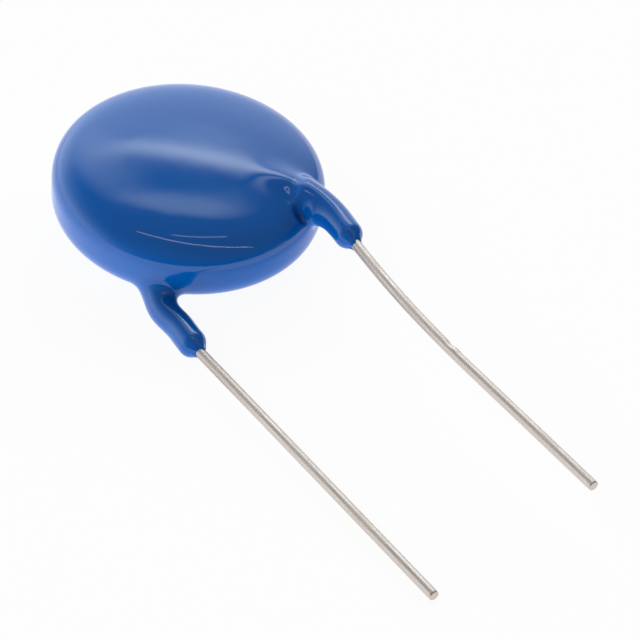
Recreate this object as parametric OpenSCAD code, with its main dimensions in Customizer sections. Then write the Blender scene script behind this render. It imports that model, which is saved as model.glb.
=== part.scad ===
// Ceramic disc capacitor: a silvered ceramic disc between two tinned wires, dipped in blue epoxy.
// Lengths are millimetres and angles are degrees. Each half is drawn in its own face frame: the
// origin is the disc's centre, +Z points out of that face and the lead leaves towards -Y. The back
// half's frame is the front's, turned half a turn about Y. lie_down() lays the part on the floor.

/* [Ceramic disc] */
// Diameter of the ceramic disc
disc_d = 12.4; // [11:0.1:13]
// Thickness of the ceramic disc
disc_t = 2.7; // [2.2:0.05:3]
// Width of the bare margin round each electrode
margin_w = 0.4; // [0.2:0.05:0.8]
// Thickness of each silver electrode
silver_t = 0.05; // [0.03:0.01:0.1]

/* [Epoxy coating] */
// Coating outside the disc's edge
rim_coat = 1.55; // [1.2:0.05:2]
// Coating over the domed front face, without its crown
front_coat = 1; // [0.8:0.05:1.1]
// How far the front face crowns at its middle
front_crown = 0.45; // [0:0.05:0.6]
// Width of the front's rounded rim
front_rim_w = 6.6; // [5.5:0.1:7]
// Squareness of the front rim's section, where 2 is an ellipse
front_power = 3.2; // [2.8:0.1:3.6]
// Height of the soft ridge over the front wire's run
ridge_h = 0.13; // [0:0.01:0.2]
// Half of the soft ridge's width
ridge_w = 1.9; // [1.4:0.1:2.4]
// Coating over the flat back face
back_coat = 0.7; // [0.5:0.05:0.9]
// Width of the back's rounded rim
back_rim_w = 2.8; // [2.2:0.1:3.4]
// Squareness of the back rim's section, where 2 is an ellipse
back_power = 2.9; // [2.2:0.1:3.6]
// Coating over the wires
wire_coat = 0.52; // [0.4:0.02:0.7]
// Width over which the wire's coating melts into the front
front_melt = 0.6; // [0.5:0.1:1]
// Width over which the wire's coating melts into the back
back_melt = 1; // [0.5:0.1:1.1]
// How far the boots run down the leads past the body's rim
boot_reach = 2.3; // [1.8:0.1:3.5]

/* [Solder] */
// Width of the solder on the silver
solder_w = 1.7; // [1.2:0.1:2.2]
// How far the solder's crest stays below the wire's middle
solder_low = 0.02; // [0.01:0.01:0.06]
// Solder between the silver and the wire
solder_film = 0.05; // [0.03:0.01:0.1]
// How far the solder runs past the wire's end
solder_past = 0.4; // [0.2:0.05:0.6]
// Silver left bare between the solder's end and the electrode's edge
silver_bare = 0.2; // [0.1:0.05:0.4]

/* [Leads] */
// Diameter of the tinned wire
wire_d = 0.6; // [0.5:0.05:0.8]
// Pitch of the two leads where they leave their boots
pitch = 10; // [9:0.1:10.5]
// How far the pair sits off the disc's centre, to the back lead's side
pair_shift = 0.75; // [0:0.05:1]
// Length of each wire's straight run across its face
cross_run = 8.2; // [7:0.1:9]
// Angle of that run to the leads
cross_angle = 45; // [40:1:50]
// Radius of the bend between the run and the lead
bend_r = 5; // [4:0.1:6]
// Distance from the body's rim in to where the bend points straight down the leads
bend_inset = 0.35; // [0:0.05:0.8]
// Radius of each lead's long bow
bow_r = 75; // [50:5:120]
// Angle by which the front lead leans in before its bow
front_lean = 7.5; // [2:0.5:9]
// Angle by which the front lead leans out after its bow
front_flare = 2.4; // [0:0.2:5]
// Angle by which the back lead leans in before its bow
back_lean = 2.2; // [1.5:0.1:4]
// Angle by which the back lead leans in after its bow
back_after = 1.3; // [0:0.1:1.4]
// Free length of the front lead past its boot
lead_len = 21.6; // [15:0.2:30]
// How much shorter the back lead is cut
short_cut = 0.3; // [0:0.1:1]
// Least length of bare wire between a boot's end and the lead's straight end
bare_gap = 0.6; // [0.3:0.1:3]

/* [Hidden] */
$fn = 96;
epoxy_blue = [0.05, 0.25, 0.6];
fired_tan = [0.72, 0.6, 0.42];
silver_white = [0.82, 0.82, 0.8];
solder_grey = [0.62, 0.63, 0.65];
tinned_grey = [0.72, 0.7, 0.67];

// The skin's grid on each half: columns all round, rows on the flat and rows round to the seam
columns = 90;
flat_rows = 10;
rim_rows = 9;
// Columns and rows of the window in that grid which each boot grows out of
window = 6;
// Rings of each boot: from the window to the boot, round the bend, along the lead and over the tip
collar_rings = 2;
bend_rings = 3;
boot_rings = 7;
tip_rings = 3;
// Times that a point of the skin is slid down the field's slope, and the step that finds the slope
slides = 4;
probe = 0.002;
// Times that the rings at a boot's root are evened out
evenings = 4;
// Sides of the swept wire, its corners' share of the wire's radius, and its steps round bend and bow
wire_sides = 24;
wire_fit = 0.99;
bend_steps = 10;
bow_steps = 4;
// How far the wire's sweep runs on into the true cylinder of its free end
wire_lap = 0.1;
// Step of the solder's rounded end
solder_step = 10;
// Places along the back ridge that are tried for the one that touches the floor
rest_tries = 16;

disc_r = disc_d / 2;
silver_r = disc_r - margin_w;
silver_top = disc_t / 2 + silver_t;
body_r = disc_r + rim_coat;
flat_r = body_r - back_rim_w;
wire_r = wire_d / 2;
wire_z = silver_top + solder_film + wire_r;
solder_h = solder_film + wire_r - solder_low;
boot_r = wire_r + wire_coat;
bend_y = body_r - bend_inset;
boot_end_y = body_r + boot_reach;
lean_run = boot_end_y - bend_y;

// A face is [height without its crown, crown, rim's width, rim's power, ridge's height, melt]
front_face = [disc_t / 2 + front_coat, front_crown, front_rim_w, front_power, ridge_h, front_melt];
back_face = [disc_t / 2 + back_coat, 0, back_rim_w, back_power, 0, back_melt];
// A lead is [place of its bend's end, lean before the bow, lean after it, how far its tip reaches,
// its face]
front = [pitch / 2 - pair_shift + lean_run * sin(front_lean), -front_lean, front_flare,
         boot_end_y + lead_len, front_face];
back = [pitch / 2 + pair_shift + lean_run * sin(back_lean), -back_lean, -back_after,
        boot_end_y + lead_len - short_cut, back_face];

// The wire's route in its face frame: a straight run, a bend, a long bow and a straight end.
// A heading is the angle from -Y towards +X.
function heading(a) = [sin(a), -cos(a)];
function across(a) = [cos(a), sin(a)];
function bend_centre(lead) = [lead[0] - bend_r, -bend_y];
function on_bend(lead, a) = bend_centre(lead) + bend_r * across(a);
function run_end(lead) = on_bend(lead, cross_angle);
function run_start(lead) = run_end(lead) - cross_run * heading(cross_angle);
function bow_start(lead) = on_bend(lead, lead[1]);
function on_bow(lead, a) = bow_start(lead) + bow_r * (across(lead[1]) - across(a));
function bow_end(lead) = on_bow(lead, lead[2]);
// The straight end starts where the bow ends, or just past the boot where the bow ends inside it
function end_start(lead) =
    bow_end(lead) + max(0, boot_end_y + bare_gap + bow_end(lead).y) / cos(lead[2]) * heading(lead[2]);
function end_len(lead) = (lead[3] + end_start(lead).y) / cos(lead[2]);
function tip(lead) = end_start(lead) + end_len(lead) * heading(lead[2]);
function boot_end(lead) = bow_start(lead) + (boot_end_y - boot_r + bow_start(lead).y) * heading(lead[1]);

// Turns the front half's frame into the back half's
function turned(p) = [-p.x, p.y, -p.z];
module on_back() rotate([0, 180, 0]) children();

// A closed tube through rings that stand across the wire's route, each given as [point, heading]
module swept(stations) {
    last = len(stations) - 1;
    r = wire_r * wire_fit;
    points = [for (s = stations) for (i = [0:wire_sides - 1])
        let (a = i * 360 / wire_sides, p = s[0] + r * cos(a) * across(s[1]))
        [p.x, p.y, wire_z + r * sin(a)]];
    walls = [for (k = [0:last - 1]) for (i = [0:wire_sides - 1])
        let (a = k * wire_sides + i, b = k * wire_sides + (i + 1) % wire_sides)
        each [[a, a + wire_sides, b + wire_sides], [a, b + wire_sides, b]]];
    polyhedron(points, [[for (i = [0:wire_sides - 1]) i], each walls,
                        [for (i = [wire_sides - 1:-1:0]) last * wire_sides + i]]);
}

// The run, the bend and the bow are one sweep, and the free end is a true cylinder
module wire(lead) {
    bend_turn = cross_angle - lead[1];
    bow_turn = lead[2] - lead[1];
    swept([[run_start(lead), cross_angle],
           for (k = [0:bend_steps])
               let (a = cross_angle - bend_turn * k / bend_steps)
               [on_bend(lead, a), a],
           for (k = [1:bow_steps])
               let (a = lead[1] + bow_turn * k / bow_steps)
               [on_bow(lead, a), a],
           [end_start(lead) + wire_lap * heading(lead[2]), lead[2]]]);
    translate([end_start(lead).x, end_start(lead).y, wire_z])
        rotate([90, 0, lead[2]])
            cylinder(h = end_len(lead), d = wire_d);
}

module disc() cylinder(h = disc_t, r = disc_r, center = true);

module electrode()
    translate([0, 0, disc_t / 2])
        cylinder(h = silver_t, r = silver_r);

// Solder is a low round-ended mound along the run, from near the silver's edge to past the wire's end
module mound(lead) {
    ball_r = (pow(solder_w / 2, 2) + pow(solder_h, 2)) / (2 * solder_h);
    along = -heading(cross_angle);
    middle = -run_end(lead) * along;
    off = norm(run_end(lead) + middle * along);
    from = middle - sqrt(pow(silver_r - silver_bare, 2) - off * off) + solder_w / 2;
    to = cross_run + solder_past - solder_w / 2;
    intersection() {
        translate([run_end(lead).x, run_end(lead).y, silver_top + solder_h - ball_r])
            rotate([0, 90, atan2(along.y, along.x)])
                rotate_extrude()
                    polygon([for (a = [-90:solder_step:0]) ball_r * across(a) + [0, from],
                             for (a = [0:solder_step:90]) ball_r * across(a) + [0, to]]);
        translate([0, 0, silver_top])
            cylinder(h = 2 * solder_h, r = silver_r);
    }
}

module solder(lead)
    difference() {
        mound(lead);
        wire(lead);
    }

// The coating's skin is where two fields, melted together, are zero: the body's and the wire's.
// The body's field is a face, with a crown and a bell-shaped ridge over the wire, inside a
// superellipse rim. The wire's field is a round tube.
function crest(r, face) = face[0] + face[1] * pow(max(0, 1 - pow(r / body_r, 2)), 2);
function rim_share(r, face) = pow(max(r - body_r + face[2], 0) / face[2], face[3]);
function body_field(r, z, face, gap) =
    let (up = abs(z) / (crest(r, face) + face[4] * exp(-pow(gap / ridge_w, 2))))
    face[0] * (pow(rim_share(r, face) + pow(up, face[3]), 1 / face[3]) - 1);
function gap_to_line(p, a, b) =
    let (ab = b - a, t = max(0, min(1, (p - a) * ab / (ab * ab))))
    norm(p - a - t * ab);
// A route is a lead's [start of run, end of run, centre of bend, end of bend, end of boot, lean, face]
function route(lead) =
    [run_start(lead), run_end(lead), bend_centre(lead), bow_start(lead), boot_end(lead), lead[1], lead[4]];
function gap_to_route(p, way) =
    let (q = p - way[2], a = atan2(q.y, q.x), on_arc = a > way[5] && a < cross_angle)
    min(gap_to_line(p, way[0], way[1]), gap_to_line(p, way[3], way[4]),
        on_arc ? abs(norm(q) - bend_r) : body_r);
function melted(a, b, melt) = min(a, b) - pow(max(melt - abs(a - b), 0), 2) / (4 * melt);
function skin_field(p, way) =
    let (flat = [p.x, p.y], gap = gap_to_route(flat, way), face = way[6])
    melted(body_field(norm(flat), p.z, face, gap), norm([gap, p.z - wire_z]) - boot_r, face[5]);
// Slides a point down the field's slope until it lies on the skin
function settled(p, way, n = slides) =
    n == 0 ? p :
    let (f = skin_field(p, way),
         steps = [[probe, 0, 0], [0, probe, 0], [0, 0, probe]],
         slope = [for (s = steps) (skin_field(p + s, way) - f) / probe])
    settled(p - f / (slope * slope) * slope, way, n - 1);

// Radius of each row of a half's grid, from the face's middle out to just above the seam
rows = [for (i = [1:flat_rows]) flat_r * i / flat_rows,
        for (i = [rim_rows - 1:-1:1]) flat_r + back_rim_w * pow(cos(90 * i / rim_rows), 2 / back_power)];
row_count = len(rows);
window_row = row_count - 1 - window;
loop = 4 * window;
col_step = 360 / columns;
function grid_point(cell, face) =
    let (r = rows[cell[0]], flat = r * across(cell[1] * col_step))
    [flat.x, flat.y, crest(r, face) * pow(1 - rim_share(r, face), 1 / face[3])];

// Angle of the bend at which the wire is a given distance from the disc's centre
function bend_angle(way, r) =
    [for (a = [cross_angle:-1:way[5]]) if (norm(way[2] + bend_r * across(a)) > r) a, way[5]][0];
// The grid's column at the middle of the boot's window
function boot_column(way) =
    let (p = way[2] + bend_r * across(bend_angle(way, rows[window_row + window / 2])))
    round(atan2(p.y, p.x) / col_step);
// Cells round the window's edge, from its upper left corner
function window_edge(c) =
    let (half = window / 2, foot = window_row + window)
    [for (i = [0:window - 1]) [window_row, c - half + i],
     for (i = [0:window - 1]) [window_row + i, c + half],
     for (i = [0:window - 1]) [foot, c + half - i],
     for (i = [0:window - 1]) [foot - i, c - half]];
// A ring of the boot about a point of the route, from its own upper left
function ring(p, a, r) =
    [for (i = [0:loop - 1])
        let (turn = 135 - i * 360 / loop, q = p + r * cos(turn) * across(a))
        [q.x, q.y, wire_z + r * sin(turn)]];
// The boot's rings, from the window's edge to the last before its end
function boot_loops(way, hole) =
    let (start = bend_angle(way, body_r - wire_r), lean = way[5],
         first = ring(way[2] + bend_r * across(start), start, boot_r))
    [hole,
     for (k = [1:collar_rings]) let (t = k / (collar_rings + 1)) (1 - t) * hole + t * first,
     for (k = [0:bend_rings - 1]) let (a = start + (lean - start) * k / bend_rings)
         ring(way[2] + bend_r * across(a), a, boot_r),
     for (k = [0:boot_rings - 1]) let (t = k / (boot_rings - 1))
         ring((1 - t) * way[3] + t * way[4], lean, boot_r),
     for (k = [1:tip_rings]) let (a = 90 * k / (tip_rings + 1))
         ring(way[4] + boot_r * sin(a) * heading(lean), lean, boot_r * cos(a))];
// Evens out the root's rings: each point moves halfway to its four neighbours' mean, then settles
function evened(loops, way, n = evenings) =
    n == 0 ? loops :
    evened([for (k = [0:len(loops) - 1])
        k == 0 || k > collar_rings + bend_rings ? loops[k] :
        [for (i = [0:loop - 1])
            let (mean = (loops[k - 1][i] + loops[k + 1][i] + loops[k][(i + 1) % loop]
                         + loops[k][(i + loop - 1) % loop]) / 4)
            settled((loops[k][i] + mean) / 2, way)]], way, n - 1);
function half_points(lead) =
    let (way = route(lead), face = way[6],
         hole = [for (cell = window_edge(boot_column(way))) grid_point(cell, face)],
         loops = evened([for (l = boot_loops(way, hole)) [for (p = l) settled(p, way)]], way),
         end = way[4] + boot_r * heading(way[5]))
    [settled([0, 0, crest(0, face)], way),
     for (i = [0:row_count - 1]) for (j = [0:columns - 1]) settled(grid_point([i, j], face), way),
     for (k = [1:ring_count]) each loops[k],
     settled([end.x, end.y, wire_z], way)];

ring_count = collar_rings + bend_rings + boot_rings + tip_rings;
half_count = 2 + row_count * columns + ring_count * loop;
// Index of a cell's point, where both halves share the seam's row after the last of their own
function at(side, cell) =
    let (j = (cell[1] % columns + columns) % columns)
    cell[0] < row_count ? side * half_count + 1 + cell[0] * columns + j :
    2 * half_count + (side == 0 ? j : (columns * 3 / 2 - j) % columns);
function quad(a, b, c, d) = [[a, b, c], [a, c, d]];
function half_faces(lead, side) =
    let (middle = boot_column(route(lead)), hole = window_edge(middle), left = middle - window / 2,
         pole = side * half_count, tube = pole + 1 + row_count * columns, last = pole + half_count - 1,
         on = function (k, i) k == 0 ? at(side, hole[i % loop]) : tube + (k - 1) * loop + i % loop)
    [for (j = [0:columns - 1]) [pole, at(side, [0, j + 1]), at(side, [0, j])],
     for (i = [0:row_count - 1]) for (j = [0:columns - 1])
         let (in_rows = i >= window_row && i < window_row + window,
              in_columns = (j - left + 2 * columns) % columns < window)
         if (!(in_rows && in_columns))
             each quad(at(side, [i, j]), at(side, [i, j + 1]),
                       at(side, [i + 1, j + 1]), at(side, [i + 1, j])),
     for (k = [0:ring_count - 1]) for (i = [0:loop - 1])
         each quad(on(k, i), on(k, i + 1), on(k + 1, i + 1), on(k + 1, i)),
     for (i = [0:loop - 1]) [on(ring_count, i), on(ring_count, i + 1), last]];
module skin() {
    seam = [for (j = [0:columns - 1]) let (p = body_r * across(j * col_step)) [p.x, p.y, 0]];
    polyhedron([each half_points(front), for (p = half_points(back)) turned(p), each seam],
               [each half_faces(front, 0), each half_faces(back, 1)]);
}

// The part lies on three feet: the start of its back ridge, its back boot's end and the back lead's tip
function ridge_crest(share) =
    let (p = run_end(back) - share * cross_run * heading(cross_angle))
    settled([p.x, p.y, wire_z + boot_r], route(back));
function under(p, r) = [p.x, p.y, wire_z + r];
feet = [for (p = [ridge_crest(1), under(boot_end(back), boot_r), under(tip(back), wire_r)]) turned(p)];
floor_normal = cross(feet[1] - feet[0], feet[2] - feet[0]);
rest_slope = atan(floor_normal.y / floor_normal.z);
rest_lean = -atan(floor_normal.x / norm([floor_normal.y, floor_normal.z]));
function laid(p) =
    let (y = p.y * cos(rest_slope) - p.z * sin(rest_slope),
         z = p.y * sin(rest_slope) + p.z * cos(rest_slope))
    [p.x * cos(rest_lean) + z * sin(rest_lean), y, z * cos(rest_lean) - p.x * sin(rest_lean)];
rest_lift = -min([for (p = feet) laid(p).z,
                  for (k = [0:rest_tries]) laid(turned(ridge_crest(k / rest_tries))).z]);
module lie_down()
    translate([0, (front[3] - body_r) / 2, rest_lift])
        rotate([rest_slope, rest_lean, 0])
            children();

module insides() {
    disc();
    electrode();
    on_back() electrode();
    mound(front);
    on_back() mound(back);
    wire(front);
    on_back() wire(back);
}

module epoxy_coating()
    color(epoxy_blue)
        lie_down()
            difference() {
                skin();
                insides();
            }

module ceramic_disc()
    color(fired_tan)
        lie_down()
            disc();

module front_electrode()
    color(silver_white)
        lie_down()
            electrode();

module back_electrode()
    color(silver_white)
        lie_down()
            on_back() electrode();

module front_solder()
    color(solder_grey)
        lie_down()
            solder(front);

module back_solder()
    color(solder_grey)
        lie_down()
            on_back() solder(back);

module front_lead()
    color(tinned_grey)
        lie_down()
            wire(front);

module back_lead()
    color(tinned_grey)
        lie_down()
            on_back() wire(back);

epoxy_coating();
ceramic_disc();
front_electrode();
back_electrode();
front_solder();
back_solder();
front_lead();
back_lead();
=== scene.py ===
from dataclasses import dataclass

import bpy
import numpy as np
from mathutils import Matrix, Vector


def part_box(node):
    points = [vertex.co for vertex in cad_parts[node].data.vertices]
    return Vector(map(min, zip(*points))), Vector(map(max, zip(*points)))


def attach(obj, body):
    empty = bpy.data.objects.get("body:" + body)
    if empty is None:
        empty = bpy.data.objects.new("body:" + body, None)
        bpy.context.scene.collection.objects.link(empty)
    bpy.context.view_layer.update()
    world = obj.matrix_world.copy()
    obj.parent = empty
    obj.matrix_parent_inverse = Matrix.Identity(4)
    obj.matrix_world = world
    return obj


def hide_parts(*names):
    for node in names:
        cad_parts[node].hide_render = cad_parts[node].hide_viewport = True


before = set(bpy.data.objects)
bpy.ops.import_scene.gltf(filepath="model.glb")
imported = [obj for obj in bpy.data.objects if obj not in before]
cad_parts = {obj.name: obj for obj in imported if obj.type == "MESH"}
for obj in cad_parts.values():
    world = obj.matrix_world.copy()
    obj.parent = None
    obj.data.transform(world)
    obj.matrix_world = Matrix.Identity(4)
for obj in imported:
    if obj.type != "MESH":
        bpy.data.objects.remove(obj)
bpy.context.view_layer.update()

# A ceramic disc capacitor dipped in glossy blue epoxy, on two long tinned wires. Lengths are
# millimetres and angles are degrees. Each half is worked out in its own face frame: the origin is
# the middle of the ceramic disc, +Z points out of that face and the lead leaves towards -Y. The
# back half's frame is the front's, turned half a turn about Y. in_row() lays both down, in metres.

MM = 0.001
ROOT = "root"

disc_low, disc_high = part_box("ceramic_disc")
disc_middle = np.array((disc_low + disc_high) / 2)

# How the part lies: its leads slope down to the floor and its body leans to the front lead's side
REST_SLOPE = 1.312
REST_LEAN = 1.576

# The dipped body and the coated wire. The rim stays a hair inside the body's radius, so that the
# boots' roots, which swell it a little, don't pass it
BODY_R = 7.75
SKIN_R = BODY_R - 0.009
WIRE_R = 0.3
WIRE_Z = 1.75
BOOT_R = 0.82
BOOT_END_Y = BODY_R + 2.3

# The wires' common route
CROSS_RUN = 8.2
CROSS_ANGLE = 45
BEND_R = 5
BEND_Y = BODY_R - 0.35
BOW_R = 75
LEAN_RUN = BOOT_END_Y - BEND_Y


def heading(angle):
    """Direction in the face's plane, at an angle from -Y towards +X."""
    turn = np.radians(angle)
    return np.stack([np.sin(turn), -np.cos(turn)], axis=-1)


def across(angle):
    """Direction in the face's plane, square to the heading."""
    turn = np.radians(angle)
    return np.stack([np.cos(turn), np.sin(turn)], axis=-1)


def bell(x):
    """1 at 0, falling away on both sides: e to the power of minus x squared."""
    return np.exp(-x ** 2)


def soft_step(x, start, end):
    """Smooth step from 0 at the start to 1 at the end: three times the share squared, less twice
    its cube."""
    share = np.clip((x - start) / (end - start), 0, 1)
    return share ** 2 * (3 - 2 * share)


@dataclass
class Face:
    """One half of the body, and how its boot grows out of it."""
    height: float  # of the face without its crown
    crown: float  # the middle's rise over that height
    rim: float  # width over which the face rounds down to the seam
    power: float  # squareness of that rounding: 2 is an ellipse
    detailed: bool  # whether the face has the front's small forms
    melt: float  # width over which the boot melts into the face
    sink: float  # how fast the coated tube sinks under the face, inwards of SINK_FROM_R
    aside: float  # how far the boot stands aside at its root
    taper: float  # how much the boot's radius shrinks along TAPER_ALONG

    def crest(self, r):
        """Height before the rim rounds it down: the crown is the squared fall of a parabola."""
        return self.height + self.crown * np.maximum(0, 1 - (r / SKIN_R) ** 2) ** 2

    def rim_share(self, r):
        """How far a radius is through the rim, from 0 to 1 at the seam, to the power."""
        return (np.maximum(r - SKIN_R + self.rim, 0) / self.rim) ** self.power

    def profile(self, r):
        """Height of the bare face at a radius: the crest, rounded down by a superellipse."""
        return self.crest(r) * (1 - np.minimum(self.rim_share(r), 1)) ** (1 / self.power)


class Lead:
    """A wire's route in its face frame: a run across the face, a bend, a long bow, a straight
    end. marks holds the length along the route at the end of each."""

    def __init__(self, place, lean, flare, reach, face):
        """place is the wire's x at the boot's end, lean and flare are its heading before and after
        the bow, and reach is how far its tip lies from the disc's middle along -Y."""
        self.lean, self.flare, self.face = lean, flare, face
        bend_x = place + LEAN_RUN * np.sin(np.radians(-lean)) - BEND_R
        self.bend_middle = np.array([bend_x, -BEND_Y])
        self.run_end = self.bend_middle + BEND_R * across(CROSS_ANGLE)
        self.run_start = self.run_end - CROSS_RUN * heading(CROSS_ANGLE)
        self.bow_start = self.bend_middle + BEND_R * across(lean)
        self.bow_end = self.bow_start + BOW_R * (across(lean) - across(flare))
        straight = (reach + self.bow_end[1]) / np.cos(np.radians(flare))
        bend = BEND_R * np.radians(CROSS_ANGLE - lean)
        bow = BOW_R * np.radians(flare - lean)
        self.marks = np.cumsum([CROSS_RUN, bend, bow, straight])
        self.boot_len = BOOT_END_Y - BOOT_R + self.bow_start[1]
        self.boot_end = self.bow_start + self.boot_len * heading(lean)

    def angle_at(self, s):
        """Heading's angle at a length along the route: steady on straights, even on both arcs."""
        return np.interp(s, self.marks[:3], [CROSS_ANGLE, self.lean, self.flare])

    def point_at(self, s):
        """Point at a length along the route: it sums the two straights and the two arcs so far."""
        run, bend, bow, _ = self.marks
        on_bend = self.bend_middle + BEND_R * across(self.angle_at(np.clip(s, run, bend)))
        bowed = BOW_R * (across(self.lean) - across(self.angle_at(np.clip(s, bend, bow))))
        before = np.minimum(s - run, 0)[..., None] * heading(CROSS_ANGLE)
        after = np.maximum(s - bow, 0)[..., None] * heading(self.flare)
        return on_bend + before + bowed + after

    def length_at(self, radius):
        """Length along the route where the bend passes a radius about the disc's middle."""
        s = np.linspace(CROSS_RUN, self.marks[1], 400)
        return float(np.interp(radius, np.linalg.norm(self.point_at(s), axis=1), s))


PITCH = 10
PAIR_SHIFT = 0.75
LEAD_LEN = 21.6
SHORT_CUT = 0.3
FRONT_FACE = Face(height=2.35, crown=0.45, rim=6.6, power=3.2, detailed=True, melt=0.8,
                  sink=1, aside=0, taper=0.09)
BACK_FACE = Face(height=2.05, crown=0, rim=2.8, power=2.9, detailed=False, melt=0.8,
                 sink=0, aside=-0.2, taper=0)
front = Lead(PITCH / 2 - PAIR_SHIFT, -7.5, 2.4, BOOT_END_Y + LEAD_LEN, FRONT_FACE)
back = Lead(PITCH / 2 + PAIR_SHIFT, -2.2, -1.3, BOOT_END_Y + LEAD_LEN - SHORT_CUT, BACK_FACE)


def in_row(points, flipped):
    """Face-frame millimetres to row metres: turn the back half over, lean, slope, and lift."""
    p = points * [-1, 1, -1] if flipped else points
    slope, lean = np.radians([REST_SLOPE, REST_LEAN])
    y = p[:, 1] * np.cos(slope) - p[:, 2] * np.sin(slope)
    z = p[:, 1] * np.sin(slope) + p[:, 2] * np.cos(slope)
    x = p[:, 0] * np.cos(lean) + z * np.sin(lean)
    up = z * np.cos(lean) - p[:, 0] * np.sin(lean)
    return np.stack([x, y, up], axis=1) * MM + disc_middle


def between(rings):
    """Quads from each ring of point numbers to the next, round to where the rings close."""
    after = np.roll(rings, -1, axis=1)
    return np.stack([rings[:-1], rings[1:], after[1:], after[:-1]], axis=-1)


def fan(ring, middle):
    """Triangles from a closed ring of point numbers to the number of its middle point."""
    return np.stack([ring, np.roll(ring, -1), np.full(len(ring), middle)], axis=-1)


def add_piece(name, points, faces, replaced, uv=None):
    """Makes a smooth mesh object at the origin from points and a list of arrays of faces, riding
    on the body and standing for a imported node."""
    mesh = bpy.data.meshes.new(name)
    mesh.from_pydata(points.tolist(), [], [face for part in faces for face in part.tolist()])
    if uv is not None:
        layer = mesh.uv_layers.new(name="along")
        layer.data.foreach_set("uv", uv.ravel())
    mesh.validate()
    mesh.shade_smooth()
    piece = bpy.data.objects.new(name, mesh)
    bpy.context.scene.collection.objects.link(piece)
    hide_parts(replaced)
    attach(piece, ROOT)
    return piece


# The coating. Its skin is where three fields, melted together, are zero: the body's, the coated
# wire's and a thin collar's where the resin creeps along the wire.

# The ridge over the front wire is two bells: a low wide one over the whole run, and a narrow one
# that grows out of it from one length along the run to another, towards the boot
WIDE_H, WIDE_W = 0.11, 1.75
NARROW_H, NARROW_W = 0.78, 0.9
NARROW_GROWS = (2.9, 9.0)

# A burst bubble beside the front boot, a dark round hollow with a raised lip, and a small swelling
# beside it
PIT = np.array([3.2, -6.38])
PIT_DEPTH, PIT_R = 0.6, 0.36
LIP_H, LIP_R, LIP_W = 0.10, 0.58, 0.15
SWELLING = np.array([2.8, -5.95])
SWELLING_H, SWELLING_R = 0.07, 0.4

# The coated wire, with places along the boot counted from where the bow starts
SINK_FROM_R = 6.7
ROOT_LEN = 1.2
TAPER_ALONG = (0.9, 2.6)

# The collar reaches past the boot's end, further at some angles about the wire: each row is how
# many lobes, their turn in radians, and their share of COLLAR_RAGGED
COLLAR_R = WIRE_R + 0.07
BOOT_REACH = BOOT_R + 0.22
COLLAR_MELT = 0.3
COLLAR_RAGGED = 0.12
COLLAR_LOBES = ((3, 0.7, 1), (5, -1.1, 0.6))

# What a field is worth where it doesn't count: far outside
FAR_OFF = BODY_R


def melted(a, b, width):
    """Quadratic smooth minimum: the lower of two fields, rounded where they differ by under
    width."""
    return np.minimum(a, b) - np.maximum(width - np.abs(a - b), 0) ** 2 / (4 * width)


def gap_to_line(p, a, b):
    """Distance in the face's plane from points to the line between two others."""
    ab = b - a
    t = np.clip((p - a) @ ab / (ab @ ab), 0, 1)
    return np.linalg.norm(p - a - t[..., None] * ab, axis=-1)


def gap_to_wire(p, lead):
    """Distance in the face's plane from points to the coated stretch: run, bend and boot."""
    q = p - lead.bend_middle
    turn = np.degrees(np.arctan2(q[..., 1], q[..., 0]))
    on_arc = (turn > lead.lean) & (turn < CROSS_ANGLE)
    arc = np.where(on_arc, np.abs(np.linalg.norm(q, axis=-1) - BEND_R), FAR_OFF)
    run = gap_to_line(p, lead.run_start, lead.run_end)
    boot = gap_to_line(p, lead.bow_start, lead.boot_end)
    return np.minimum(np.minimum(run, boot), arc)


def small_forms(flat, lead):
    """Height of the front face's small forms: the ridge's two bells, the bubble's hollow and lip,
    and the swelling."""
    gap = gap_to_wire(flat, lead)
    grown = soft_step(flat @ heading(CROSS_ANGLE), *NARROW_GROWS)
    ridge = WIDE_H * bell(gap / WIDE_W) + NARROW_H * grown * bell(gap / NARROW_W)
    off = np.linalg.norm(flat - PIT, axis=-1)
    pit = LIP_H * bell((off - LIP_R) / LIP_W) - PIT_DEPTH * bell(off / PIT_R)
    swelling = SWELLING_H * bell(np.linalg.norm(flat - SWELLING, axis=-1) / SWELLING_R)
    return ridge + pit + swelling


def body_field(flat, z, lead):
    """A disc inside a superellipse: the rim's share and the share of the crest's height, each to
    the power, sum to 1 on it."""
    face = lead.face
    r = np.linalg.norm(flat, axis=-1)
    top = face.crest(r)
    if face.detailed:
        top = top + small_forms(flat, lead)
    total = face.rim_share(r) + np.abs(z / top) ** face.power
    return face.height * (total ** (1 / face.power) - 1)


def wire_field(flat, z, lead):
    """A round tube about the coated stretch, which thins along the boot, stands aside at the
    boot's root and sinks under the face."""
    face = lead.face
    along = (flat - lead.bow_start) @ heading(lead.lean)
    aside = face.aside * bell(along / ROOT_LEN)[..., None] * across(lead.lean)
    sunk = face.sink * np.maximum(SINK_FROM_R - np.linalg.norm(flat, axis=-1), 0)
    radius = BOOT_R - face.taper * soft_step(along, *TAPER_ALONG)
    return np.hypot(gap_to_wire(flat - aside, lead), z - WIRE_Z + sunk) - radius


def collar_field(flat, z, lead):
    """A thin round-ended sleeve on the wire, with a ragged end, that counts only near the boot's
    end."""
    q = flat - lead.boot_end
    side = q @ across(lead.lean)
    angle = np.arctan2(z - WIRE_Z, side)
    ragged = COLLAR_RAGGED * sum(share * np.sin(lobes * angle + turn)
                                 for lobes, turn, share in COLLAR_LOBES)
    past = q @ heading(lead.lean) - (BOOT_REACH - COLLAR_R + ragged)
    collar = np.sqrt(side ** 2 + (z - WIRE_Z) ** 2 + np.maximum(past, 0) ** 2) - COLLAR_R
    return np.where(past > -BOOT_REACH, collar, FAR_OFF)


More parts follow.
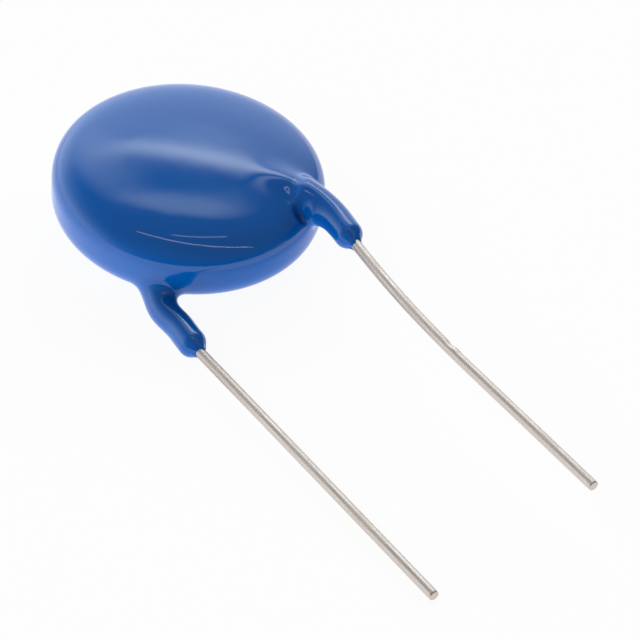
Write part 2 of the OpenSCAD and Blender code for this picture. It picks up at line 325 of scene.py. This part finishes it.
def skin_field(p, lead):
    """Below zero inside the coating, zero on its skin: the body melted to the coated wire, and
    both to the collar."""
    flat, z = p[..., :2], p[..., 2]
    dipped = melted(body_field(flat, z, lead), wire_field(flat, z, lead), lead.face.melt)
    return melted(dipped, collar_field(flat, z, lead), COLLAR_MELT)


# A half's grid: columns round the middle, even rows out to FLAT_R and closer ones from there to the
# seam. A square window of its cells near the rim opens into the boot's rings: some to its root,
# some down its length, some over its end.
COLUMNS = 360
FLAT_R = 4.95
FLAT_ROWS = 40
RIM_ROWS = 36
ROWS = FLAT_ROWS + RIM_ROWS - 1
WINDOW = 24
WINDOW_ROW = ROWS - 1 - WINDOW
LOOP = 4 * WINDOW
ROOT_RINGS = 8
BOOT_RINGS = 56
END_RINGS = 16

# The skin's slope is felt over PROBE, and taken to be no flatter than this when squared. A point
# slides in SLIDES steps from its first place, and in fewer from one close by.
PROBE = 0.002
LEAST_SLOPE_SQUARED = 0.04
SLIDES = 6
SHORT_SLIDES = 2

# How many times the grid and the boot's rings are evened out, and up to which ring
GRID_EVENED = 10
BOOT_EVENED = 16
EVEN_TO_RING = 36


def settled(p, lead, times=SLIDES):
    """Slides points down the field's slope, found by small steps, until they lie on the skin."""
    steps = np.eye(3) * PROBE
    for _ in range(times):
        f = skin_field(p, lead)
        slope = np.stack([(skin_field(p + step, lead) - f) / PROBE for step in steps], -1)
        steepness = np.maximum((slope ** 2).sum(-1), LEAST_SLOPE_SQUARED)
        p = p - (f / steepness)[:, None] * slope
    return p


def evened(loops, lead, times, last):
    """Settles a stack of closed rings on the skin. Then, so many times, the points of ring 1 up to
    the last, which is left out, move halfway to the mean of their four neighbours and are slid
    back onto the skin."""
    loops = settled(loops.reshape(-1, 3), lead).reshape(loops.shape)
    for _ in range(times):
        inner = loops[1:last]
        beside = np.roll(inner, 1, 1) + np.roll(inner, -1, 1)
        mean = (loops[:last - 1] + loops[2:last + 1] + beside) / 4
        moved = (inner + mean) / 2
        loops[1:last] = settled(moved.reshape(-1, 3), lead, SHORT_SLIDES).reshape(moved.shape)
    return loops


def row_radii():
    """Radius of each row: even steps out to FLAT_R, then closer and closer towards the seam, by a
    cosine to the back rim's power."""
    turn = np.radians(90 * np.arange(RIM_ROWS - 1, 0, -1) / RIM_ROWS)
    rim = FLAT_R + (SKIN_R - FLAT_R) * np.cos(turn) ** (2 / BACK_FACE.power)
    return np.concatenate([FLAT_R * np.arange(1, FLAT_ROWS + 1) / FLAT_ROWS, rim])


def ring(lead, s, radius, ahead=0.0):
    """Ring about the wire at a length along it, or ahead of that, clockwise down the lead from its
    upper left, as the window's edge runs."""
    turn = np.radians(135 - np.arange(LOOP) * 360 / LOOP)
    angle = lead.angle_at(s)
    middle = lead.point_at(s) + ahead * heading(angle)
    flat = middle + radius * np.cos(turn)[:, None] * across(angle)
    return np.column_stack([flat, WIRE_Z + radius * np.sin(turn)])


def boot_rings(lead, edge):
    """Rings from the window's edge to the boot: straight steps to the ring where the wire passes
    the rim, then rings down the boot, then a quarter of an ellipse over its end."""
    root = lead.length_at(BODY_R - WIRE_R)
    end = lead.marks[1] + lead.boot_len
    share = np.arange(1, ROOT_RINGS + 1)[:, None, None] / (ROOT_RINGS + 1)
    to_root = (1 - share) * edge + share * ring(lead, root, BOOT_R)
    down = [ring(lead, s, BOOT_R) for s in np.linspace(root, end, BOOT_RINGS)]
    turns = np.radians(90 * np.arange(1, END_RINGS + 1) / (END_RINGS + 1))
    over = [ring(lead, end, BOOT_R * np.cos(a), BOOT_REACH * np.sin(a)) for a in turns]
    return np.stack([*to_root, *down, *over])


def coated_half(lead):
    """Points and arrays of faces of one half's skin. The points are the middle, the grid row by
    row, the boot's rings, the boot's end, and the seam."""
    rows = row_radii()
    turn = np.radians(np.arange(COLUMNS) * 360 / COLUMNS)
    heights = np.repeat(lead.face.profile(rows)[:, None], COLUMNS, 1)
    grid = np.stack([rows[:, None] * np.cos(turn), rows[:, None] * np.sin(turn), heights], -1)

    # The window is centred where the wire crosses its middle row. Its edge is a walk of LOOP steps:
    # out along the top row, down the far column, back along the bottom row, up the near column
    middle = lead.point_at(lead.length_at(rows[WINDOW_ROW + WINDOW // 2]))
    column = int(round(np.degrees(np.arctan2(middle[1], middle[0])) * COLUMNS / 360))
    near = column - WINDOW // 2
    walk = np.arange(LOOP)
    edge = (WINDOW_ROW + np.clip(np.minimum(walk - WINDOW, LOOP - walk), 0, WINDOW),
            (near + np.clip(np.minimum(walk, LOOP - WINDOW - walk), 0, WINDOW)) % COLUMNS)

    rings = boot_rings(lead, grid[edge])
    grid = evened(grid, lead, GRID_EVENED, ROWS - 1)
    rings = evened(np.stack([grid[edge], *rings]), lead, BOOT_EVENED, EVEN_TO_RING)[1:]
    top = np.array([[0, 0, lead.face.crest(0)]])
    tip = np.append(lead.boot_end + BOOT_REACH * heading(lead.lean), WIRE_Z)[None]
    seam = np.column_stack([SKIN_R * np.cos(turn), SKIN_R * np.sin(turn), np.zeros(COLUMNS)])
    points = np.concatenate([settled(top, lead), grid.reshape(-1, 3), rings.reshape(-1, 3),
                             settled(tip, lead), seam])

    number = np.arange(len(points))
    boot_from = 1 + ROWS * COLUMNS
    cells = np.vstack([number[1:boot_from].reshape(ROWS, COLUMNS), number[-COLUMNS:]])
    boot = np.vstack([cells[edge], number[boot_from:-COLUMNS - 1].reshape(-1, LOOP)])
    closed = np.ones((ROWS, COLUMNS), bool)
    closed[WINDOW_ROW:WINDOW_ROW + WINDOW, (near + np.arange(WINDOW)) % COLUMNS] = False
    # A ring taken backwards turns its fan's faces over
    return points, [between(cells)[closed], fan(cells[0], 0), between(boot).reshape(-1, 4),
                    fan(boot[-1, ::-1], number[-COLUMNS - 1])]


def make_coating():
    """Both halves, joined along the seam, where the back half's columns run the other way
    round."""
    front_points, front_faces = coated_half(front)
    back_points, back_faces = coated_half(back)
    base = len(front_points)
    points = np.concatenate([in_row(front_points, False), in_row(back_points[:-COLUMNS], True)])
    seam = (COLUMNS // 2 - np.arange(COLUMNS)) % COLUMNS + base - COLUMNS
    numbers = np.concatenate([base + np.arange(len(back_points) - COLUMNS), seam])
    faces = [*front_faces, *(numbers[part] for part in back_faces)]
    return add_piece("coating", points, faces, "epoxy_coating")


# The wires

WIRE_SIDES = 40
WIRE_STEP = 0.12

# Each wire has a nick where it was nipped, facing one angle about the wire, and the metal raised
# just past it: the nick's place along the route and its depth
FRONT_NICK = (24.1, 0.06)
BACK_NICK = (21.0, 0.012)
NICK_W = 0.28
NICK_ANGLE = 40
RAISED_PAST, RAISED_W, RAISED_SHARE = 0.4, 0.25, 0.5

# The sheared end's edge is rounded, unevenly about the wire by a share and a turn in radians. Its
# cut face domes up in rings of these shares of the wire's radius, with a low band in its middle
EDGE_ROUND, EDGE_LEN = 0.018, 0.12
EDGE_UNEVEN, EDGE_TURN = 0.4, 0.5
CUT_RINGS = np.array([0.86, 0.6, 0.3])
CUT_DOME = 0.05
BAND_DEPTH, BAND_R = 0.03, 0.7
TIP_DOME = CUT_DOME - BAND_DEPTH


def wire_rings(lead, nick_at, nick_depth):
    """Lengths along the route and the ring of points at each: a round profile carried along the
    route, its radius changed by bells at the nick, past it and at the sheared end."""
    total = lead.marks[3] - TIP_DOME
    s = np.linspace(0, total, int(total / WIRE_STEP))
    turn = np.linspace(0, 2 * np.pi, WIRE_SIDES + 1)[:-1]
    facing = np.maximum(0, np.cos(turn - np.radians(NICK_ANGLE)))
    uneven = 1 - EDGE_UNEVEN + EDGE_UNEVEN * np.sin(2 * turn + EDGE_TURN)
    nicked = nick_depth * bell((s - nick_at) / NICK_W)[:, None]
    raised = RAISED_SHARE * nick_depth * bell((s - nick_at - RAISED_PAST) / RAISED_W)[:, None]
    rounded = EDGE_ROUND * bell((total - s) / EDGE_LEN)[:, None]
    radius = WIRE_R - nicked * facing + raised * facing - rounded * uneven
    side = across(lead.angle_at(s))[:, None]
    flat = lead.point_at(s)[:, None] + (radius * np.cos(turn))[..., None] * side
    return s, np.dstack([flat, WIRE_Z + radius * np.sin(turn)])


def make_wire(name, lead, flipped, replaced, nick):
    """The wire's rings, closed by its domed cut face and by a plain cap inside the coating. Its UV
    map holds millimetres round the wire and along it."""
    s, wall = wire_rings(lead, *nick)
    last = wall[-1]
    centre = last.mean(0)
    ahead = np.append(heading(lead.flare), 0)
    share = CUT_RINGS[:, None, None]
    rise = CUT_DOME * (1 - share ** 2) - BAND_DEPTH * (share < BAND_R)
    dome = centre + (last - centre) * share + rise * ahead
    points = np.concatenate([wall.reshape(-1, 3), dome.reshape(-1, 3),
                             [centre + TIP_DOME * ahead, wall[0].mean(0)]])

    rings = np.arange(len(points) - 2).reshape(-1, WIRE_SIDES)
    # These corners go round the other way, which faces them outwards
    quads = between(rings)[..., [0, 3, 2, 1]].reshape(-1, 4)
    ends = [fan(rings[-1], len(points) - 2), fan(rings[0, ::-1], len(points) - 1)]

    around = np.arange(WIRE_SIDES + 1) / WIRE_SIDES * 2 * np.pi * WIRE_R
    along = np.concatenate([s, np.full(len(dome), s[-1])])
    u = np.stack([around[:-1], around[1:], around[1:], around[:-1]], -1)
    v = np.stack([along[:-1], along[:-1], along[1:], along[1:]], -1)
    quad_uv = np.stack(np.broadcast_arrays(u[None], v[:, None]), -1).reshape(-1, 2)
    uv = np.concatenate([quad_uv, np.zeros((sum(end.size for end in ends), 2))])
    return add_piece(name, in_row(points, flipped), [quads, *ends], replaced, uv)


# Materials

def linear(hex_colour):
    """sRGB hex to linear RGBA."""
    srgb = np.array([int(hex_colour[i:i + 2], 16) for i in (1, 3, 5)]) / 255
    rgb = np.where(srgb <= 0.04045, srgb / 12.92, ((srgb + 0.055) / 1.055) ** 2.4)
    return (*rgb, 1.0)


def add_node(tree, kind, inputs=None, **settings):
    """Adds a shader node, sets its properties, and sets or links its inputs by name or number. A
    Mix node's inputs 2 and 3 are its two values, and 6 and 7 its two colours."""
    node = tree.nodes.new("ShaderNode" + kind)
    for name, value in settings.items():
        setattr(node, name, value)
    for name, value in (inputs or {}).items():
        if isinstance(value, bpy.types.NodeSocket):
            tree.links.new(value, node.inputs[name])
        else:
            node.inputs[name].default_value = value
    return node


def new_material(name):
    """A material with an empty tree, its Principled shader and its output."""
    material = bpy.data.materials.new(name)
    material.use_nodes = True
    tree = material.node_tree
    tree.nodes.clear()
    shader = add_node(tree, "BsdfPrincipled")
    add_node(tree, "OutputMaterial", {"Surface": shader.outputs[0]})
    return material, tree, shader


def per_mm(size):
    """Texture scale, in Object coordinates in metres, that repeats about every size millimetres."""
    return 1 / (size * MM)


def dipped_blue_epoxy():
    """Fluid-dipped pigmented epoxy: hard and glossy, with a faint orange peel and a few dust
    nibs."""
    material, tree, shader = new_material("dipped_blue_epoxy")
    place = add_node(tree, "TexCoord").outputs["Object"]
    cloud = add_node(tree, "TexNoise", {"Vector": place, "Scale": per_mm(5.0), "Detail": 2.0})
    blue = add_node(tree, "Mix", {"Factor": cloud.outputs[0], 6: linear("#0054A8"),
                                  7: linear("#005AAE")}, data_type="RGBA")
    peel = add_node(tree, "TexNoise", {"Vector": place, "Scale": per_mm(1.6), "Detail": 1.0})
    nibs = add_node(tree, "TexVoronoi", {"Vector": place, "Scale": per_mm(3.2)})
    nib = add_node(tree, "MapRange", {"Value": nibs.outputs["Distance"], "From Min": 0.0,
                                      "From Max": 0.035, "To Min": 1.0, "To Max": 0.0},
                   interpolation_type="SMOOTHSTEP")
    high = add_node(tree, "Math", {0: nib.outputs[0], 1: 0.6, 2: peel.outputs[0]},
                    operation="MULTIPLY_ADD")
    skin = add_node(tree, "Bump", {"Height": high.outputs[0], "Distance": 0.02 * MM,
                                   "Strength": 0.35})
    shader.inputs["Roughness"].default_value = 0.05
    shader.inputs["IOR"].default_value = 1.52
    tree.links.new(blue.outputs[2], shader.inputs["Base Color"])
    tree.links.new(skin.outputs[0], shader.inputs["Normal"])
    return material


def tinned_copper_wire():
    """Hot-tinned copper wire: a soft grey metal with dull patches, and with fine draw lines along
    it, about nine to a millimetre round the wire and three millimetres long."""
    material, tree, shader = new_material("tinned_copper_wire")
    uv = add_node(tree, "UVMap", uv_map="along").outputs[0]
    drawn = add_node(tree, "Mapping", {"Vector": uv, "Scale": (9.0, 0.35, 1.0)}).outputs[0]
    lines = add_node(tree, "TexNoise", {"Vector": drawn, "Scale": 1.0, "Detail": 1.0})
    place = add_node(tree, "TexCoord").outputs["Object"]
    dull = add_node(tree, "TexNoise", {"Vector": place, "Scale": per_mm(1.6), "Detail": 1.0})
    both = add_node(tree, "Math", {0: lines.outputs[0], 1: 0.6, 2: dull.outputs[0]},
                    operation="MULTIPLY_ADD")
    grey = add_node(tree, "Mix", {"Factor": both.outputs[0], 6: linear("#B8AEA9"),
                                  7: linear("#C6BBB5")}, data_type="RGBA")
    rough = add_node(tree, "MapRange", {"Value": dull.outputs[0], "From Min": 0.3,
                                        "From Max": 0.7, "To Min": 0.40, "To Max": 0.55})
    fine = add_node(tree, "Bump", {"Height": both.outputs[0], "Distance": 0.012 * MM,
                                   "Strength": 0.06})
    shader.inputs["Metallic"].default_value = 1.0
    tree.links.new(grey.outputs[2], shader.inputs["Base Color"])
    tree.links.new(rough.outputs[0], shader.inputs["Roughness"])
    tree.links.new(fine.outputs[0], shader.inputs["Normal"])
    return material


def mottled(name, dark, light, grain, roughness, metallic=0.0):
    """A matte material with two close tones in an even grain, for the pieces sealed inside."""
    material, tree, shader = new_material(name)
    place = add_node(tree, "TexCoord").outputs["Object"]
    noise = add_node(tree, "TexNoise", {"Vector": place, "Scale": per_mm(grain), "Detail": 4.0})
    tone = add_node(tree, "Mix", {"Factor": noise.outputs[0], 6: linear(dark),
                                  7: linear(light)}, data_type="RGBA")
    rough = add_node(tree, "Bump", {"Height": noise.outputs[0], "Distance": 0.01 * MM})
    shader.inputs["Roughness"].default_value = roughness
    shader.inputs["Metallic"].default_value = metallic
    tree.links.new(tone.outputs[2], shader.inputs["Base Color"])
    tree.links.new(rough.outputs[0], shader.inputs["Normal"])
    return material


coating = make_coating()
coating.data.materials.append(dipped_blue_epoxy())
wire = tinned_copper_wire()
front_wire = make_wire("front_wire", front, False, "front_lead", FRONT_NICK)
back_wire = make_wire("back_wire", back, True, "back_lead", BACK_NICK)
for piece in (front_wire, back_wire):
    piece.data.materials.append(wire)

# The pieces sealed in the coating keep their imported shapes: a pressed and fired titanate disc,
# fired silver paste and soft solder
sealed = {
    "ceramic_disc": mottled("fired_titanate_ceramic", "#A8926F", "#BEA986", 0.4, 0.7),
    "front_electrode": mottled("fired_silver_paste", "#B9B7B1", "#D6D4CE", 0.15, 0.5, 1.0),
    "front_solder": mottled("soft_solder", "#8F9194", "#AEB0B3", 0.8, 0.35, 1.0),
}
sealed["back_electrode"] = sealed["front_electrode"]
sealed["back_solder"] = sealed["front_solder"]
for name, material in sealed.items():
    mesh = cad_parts[name].data
    mesh.materials.clear()
    mesh.materials.append(material)


# The camera looks down on the part from the leads' left. Its place comes from a fit of the part's
# own points to where the photograph shows them, in a frame of 640 by 640 pixels.

CAMERA_AZIMUTH = -38.055
CAMERA_ELEVATION = 43.0
CAMERA_ROLL = 4.497
CAMERA_AIM = (0.149, -0.847, 2.5)
CAMERA_DISTANCE = 239.09
FOCAL_PIXELS = 4370.6
FRAME_PIXELS = 640


def towards(azimuth, elevation):
    """Unit vector to a place in the surroundings: azimuth 0 is -Y, and 90 is +X."""
    a, e = np.radians([azimuth, elevation])
    return Vector((np.sin(a) * np.cos(e), -np.cos(a) * np.cos(e), np.sin(e)))


def from_camera(azimuth, elevation):
    """The same, with the azimuth counted from the camera's own."""
    return towards(azimuth + CAMERA_AZIMUTH, elevation)


def make_camera():
    """A pinhole camera at a distance from its aim, rolled about its own axis."""
    data = bpy.data.cameras.new("camera")
    data.sensor_width = 36
    data.lens = FOCAL_PIXELS / FRAME_PIXELS * data.sensor_width
    data.clip_start, data.clip_end = 0.01, 10
    camera = bpy.data.objects.new("camera", data)
    bpy.context.scene.collection.objects.link(camera)
    back_way = from_camera(0, CAMERA_ELEVATION)
    right = Vector((*across(CAMERA_AZIMUTH), 0))
    turn = Matrix((right, back_way.cross(right), back_way)).transposed()
    roll = Matrix.Rotation(np.radians(CAMERA_ROLL), 3, "Z")
    aim = Vector(CAMERA_AIM) * MM
    place = Matrix.Translation(aim + back_way * CAMERA_DISTANCE * MM)
    camera.matrix_world = place @ (turn @ roll).to_4x4()
    bpy.context.scene.camera = camera


# The studio: a white sweep, a bright wall behind the part, a lit left side, a dim ceiling, and
# nothing where the camera stands. Azimuths are counted from the camera's.

# Soft boxes: azimuth, elevation, half width and half height as sines, softness of the edge as a
# share of the size, and radiance. Gloss sees a bright wall behind the part with a lighter band at
# its top and a window over it, and a lit left side
GLOSS_BOXES = {
    "wall": (188, 11, 0.64, 0.52, 0.4, 1.27),
    "band": (174, 42.7, 0.27, 0.125, 0.9, 3.9),
    "window": (178, 62, 0.22, 0.077, 0.6, 1.75),
    "left": (-102, -10, 0.75, 0.65, 0.45, 1.85),
    "far_left": (-154, 44, 0.15, 0.25, 0.7, 1.06),
}
# Everything else is lit by a broad box behind the part and one on its left
EVEN_BOXES = {
    "behind": (174, 30, 0.72, 0.32, 0.4, 4.2),
    "left": (-75, 40, 0.75, 0.3, 0.4, 2.3),
}
GLOSS_TINT = "#F5FEFF"

# Where there is no box there is only gloom. In gloss the ceiling is lighter by CEILING_GLOW at its
# lightest, and by less further from there, down to nothing at a right angle
GLOOM = 0.01
CEILING_AT = (40, 78)
CEILING_GLOW = 0.24
CEILING_COSINE = 0.9

# Strips that draw thin lines in the gloss, all as far from the part as this: the ends' azimuth and
# elevation, width and radiance
STRIP_DISTANCE = 420
STRIPS = {
    "long_strip": ((-92, 74), (68, 42), 8, 5),
    "short_strip": ((-161, 85), (111, 72), 9, 2.6),
}

# The sweep shines white to the camera, but for the share of its plain paper that keeps the part's
# shadow. In gloss it glows from dim on the camera's right to bright on its far left, between two
# distances past the body's middle, and at least as FAR_GLOW far off on every side. For all other
# light it glows evenly, as a share of what it gives back.
FLOOR_SIZE = 1600
SHADOW_SHARE = 0.06
DIM_GLOW, BRIGHT_GLOW = 0.28, 1.43
GLOW_AZIMUTH = -126
GLOW_FROM, GLOW_TO = -20, 2.5
FAR_GLOW = 1.25
FAR_FROM, FAR_TO = 10, 17
EVEN_GLOW = 2.5
EVEN_SHARE = 0.75


def boxes_light(tree, way, boxes, level):
    """Adds the boxes' light to a level. Along a box's two axes the ray's direction is measured in
    half sizes; inside a length of one it is lit, with a soft step at the edge, and only in
    front."""
    for azimuth, elevation, width, height, soft, radiance in boxes.values():
        middle = from_camera(azimuth, elevation)
        sideways = Vector((0, 0, 1)).cross(middle).normalized()
        upwards = middle.cross(sideways)
        x, y, ahead = (add_node(tree, "VectorMath", {0: way, 1: axis}, operation="DOT_PRODUCT")
                       for axis in (sideways / width, upwards / height, middle))
        flat = add_node(tree, "CombineXYZ", {0: x.outputs["Value"], 1: y.outputs["Value"]})
        length = add_node(tree, "VectorMath", {0: flat.outputs[0]}, operation="LENGTH")
        lit = add_node(tree, "MapRange", {"Value": length.outputs["Value"], "From Min": 1 + soft,
                                          "From Max": 1 - soft, "To Max": radiance},
                       interpolation_type="SMOOTHSTEP")
        front_side = add_node(tree, "Math", {0: ahead.outputs["Value"], 1: 0.0},
                              operation="GREATER_THAN")
        level = add_node(tree, "Math", {0: lit.outputs[0], 1: front_side.outputs[0], 2: level},
                         operation="MULTIPLY_ADD").outputs[0]
    return level


def make_world():
    """Surroundings by direction: one set of soft boxes for gloss, another for all other light, and
    plain white to the camera."""
    world = bpy.data.worlds.new("studio")
    world.use_nodes = True
    tree = world.node_tree
    tree.nodes.clear()
    way = add_node(tree, "TexCoord").outputs["Generated"]
    overhead = add_node(tree, "VectorMath", {0: way, 1: from_camera(*CEILING_AT)},
                        operation="DOT_PRODUCT")
    ceiling = add_node(tree, "MapRange", {"Value": overhead.outputs["Value"],
                                          "From Max": CEILING_COSINE, "To Min": GLOOM,
                                          "To Max": GLOOM + CEILING_GLOW},
                       interpolation_type="SMOOTHSTEP")
    seen = boxes_light(tree, way, GLOSS_BOXES, ceiling.outputs[0])
    felt = boxes_light(tree, way, EVEN_BOXES, GLOOM)
    path = add_node(tree, "LightPath")
    in_gloss = path.outputs["Is Glossy Ray"]
    lit = add_node(tree, "Mix", {"Factor": in_gloss, 2: felt, 3: seen})
    shown = add_node(tree, "Mix", {"Factor": path.outputs["Is Camera Ray"], 2: lit.outputs[0],
                                   3: 1.0})
    tint = add_node(tree, "Mix", {"Factor": in_gloss, 6: linear("#FFFFFF"),
                                  7: linear(GLOSS_TINT)}, data_type="RGBA")
    sky = add_node(tree, "Background", {"Color": tint.outputs[2], "Strength": shown.outputs[0]})
    add_node(tree, "OutputWorld", {"Surface": sky.outputs[0]})
    bpy.context.scene.world = world


def make_floor():
    """A white sweep: plain paper mixed with a glow that depends on what kind of ray sees it."""
    half = FLOOR_SIZE / 2 * MM
    mesh = bpy.data.meshes.new("floor")
    corners = [(-half, -half, 0), (half, -half, 0), (half, half, 0), (-half, half, 0)]
    mesh.from_pydata(corners, [], [(0, 1, 2, 3)])
    floor = bpy.data.objects.new("floor", mesh)
    bpy.context.scene.collection.objects.link(floor)
    material = bpy.data.materials.new("white_sweep")
    material.use_nodes = True
    tree = material.node_tree
    tree.nodes.clear()

    place = add_node(tree, "TexCoord").outputs["Object"]
    from_body = add_node(tree, "VectorMath", {0: place, 1: Vector(disc_middle)},
                         operation="SUBTRACT").outputs[0]
    left = add_node(tree, "VectorMath", {0: from_body, 1: from_camera(GLOW_AZIMUTH, 0)},
                    operation="DOT_PRODUCT")
    glow = add_node(tree, "MapRange", {"Value": left.outputs["Value"],
                                       "From Min": GLOW_FROM * MM, "From Max": GLOW_TO * MM,
                                       "To Min": DIM_GLOW, "To Max": BRIGHT_GLOW},
                    interpolation_type="SMOOTHSTEP")
    away = add_node(tree, "VectorMath", {0: from_body}, operation="LENGTH")
    far = add_node(tree, "MapRange", {"Value": away.outputs["Value"], "From Min": FAR_FROM * MM,
                                      "From Max": FAR_TO * MM, "To Max": FAR_GLOW},
                   interpolation_type="SMOOTHSTEP")
    brighter = add_node(tree, "Math", {0: glow.outputs[0], 1: far.outputs[0]},
                        operation="MAXIMUM")

    path = add_node(tree, "LightPath")
    in_gloss = path.outputs["Is Glossy Ray"]
    level = add_node(tree, "Mix", {"Factor": in_gloss, 2: EVEN_GLOW, 3: brighter.outputs[0]})
    white = add_node(tree, "Math", {0: path.outputs["Is Camera Ray"],
                                    1: path.outputs["Is Transmission Ray"]}, operation="MAXIMUM")
    strength = add_node(tree, "Mix", {"Factor": white.outputs[0], 2: level.outputs[0], 3: 1.0})
    plain = add_node(tree, "Math", {0: white.outputs[0], 1: in_gloss}, operation="MAXIMUM")
    share = add_node(tree, "MapRange", {"Value": plain.outputs[0], "To Min": EVEN_SHARE,
                                        "To Max": 1 - SHADOW_SHARE})
    paper = add_node(tree, "BsdfDiffuse", {"Color": linear("#F4F4F4")})
    shine = add_node(tree, "Emission", {"Color": linear("#FFFFFF"),
                                        "Strength": strength.outputs[0]})
    mix = add_node(tree, "MixShader", {0: share.outputs[0], 1: paper.outputs[0],
                                       2: shine.outputs[0]})
    add_node(tree, "OutputMaterial", {"Surface": mix.outputs[0]})
    mesh.materials.append(material)


def add_strip(name, start, end, width, radiance):
    """A long narrow lamp that only gloss sees, between two directions from the part."""
    start, end = (from_camera(*way) * STRIP_DISTANCE for way in (start, end))
    out = (start + end).normalized()
    along = (end - start).normalized()
    data = bpy.data.lights.new(name, "AREA")
    data.shape = "RECTANGLE"
    data.size, data.size_y = (end - start).length * MM, width * MM
    # A Lambertian panel of radiance L and area A gives pi * L * A watts
    data.energy = np.pi * radiance * data.size * data.size_y
    lamp = bpy.data.objects.new(name, data)
    turn = Matrix((along, out.cross(along), out)).transposed()
    middle = Matrix.Translation((start + end) / 2 * MM + Vector(disc_middle))
    lamp.matrix_world = middle @ turn.to_4x4()
    lamp.visible_diffuse = False
    lamp.visible_camera = False
    bpy.context.scene.collection.objects.link(lamp)


make_camera()
make_world()
make_floor()
for name, strip in STRIPS.items():
    add_strip(name, *strip)

view = bpy.context.scene.view_settings
view.view_transform = "Standard"
